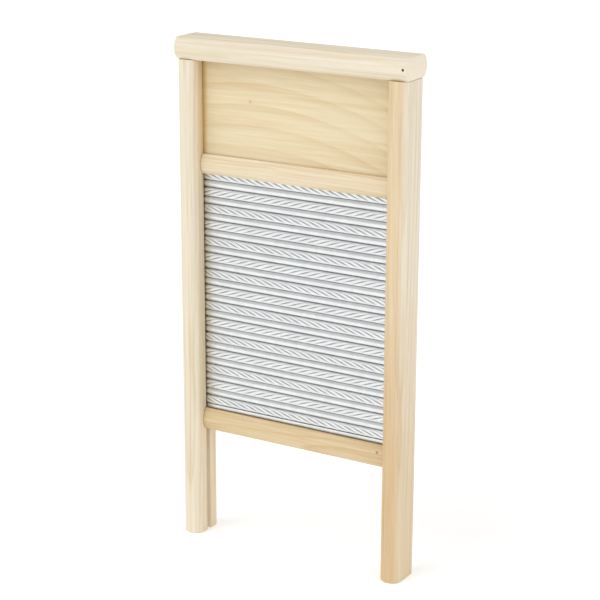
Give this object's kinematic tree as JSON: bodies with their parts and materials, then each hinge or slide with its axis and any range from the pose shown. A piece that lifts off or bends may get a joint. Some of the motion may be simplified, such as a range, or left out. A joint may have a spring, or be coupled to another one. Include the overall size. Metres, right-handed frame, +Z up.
{
  "type": "washboard",
  "caption": "Pail-size wooden washboard: two legs under a head rail, cross rails, a plain upper panel and a ribbed metal rubbing sheet with plain and rope-twist ribs.",
  "frame": {"origin": "on the ground, midway between the two feet and midway through the depth of the frame", "axes": "+Z up along the legs, +X to the right seen from the front, +Y from the front to the back"},
  "size_m": [0.224, 0.037, 0.4572],
  "materials": {
    "frame_wood": "planed, unfinished poplar",
    "panel_wood": "planed, unfinished poplar",
    "galvanised_steel": "bright galvanised",
    "nail_steel": "dull bare steel"
  },
  "bodies": {
    "root": {"head_rail": "frame_wood", "left_leg": "frame_wood", "right_leg": "frame_wood", "middle_rail": "frame_wood", "bottom_rail": "frame_wood", "upper_panel": "panel_wood", "rubbing_sheet": "galvanised_steel", "head_nail_left": "nail_steel", "head_nail_right": "nail_steel", "middle_rail_brad_left": "nail_steel", "middle_rail_brad_right": "nail_steel", "bottom_rail_brad_left": "nail_steel", "bottom_rail_brad_right": "nail_steel"}
  },
  "joints": []
}
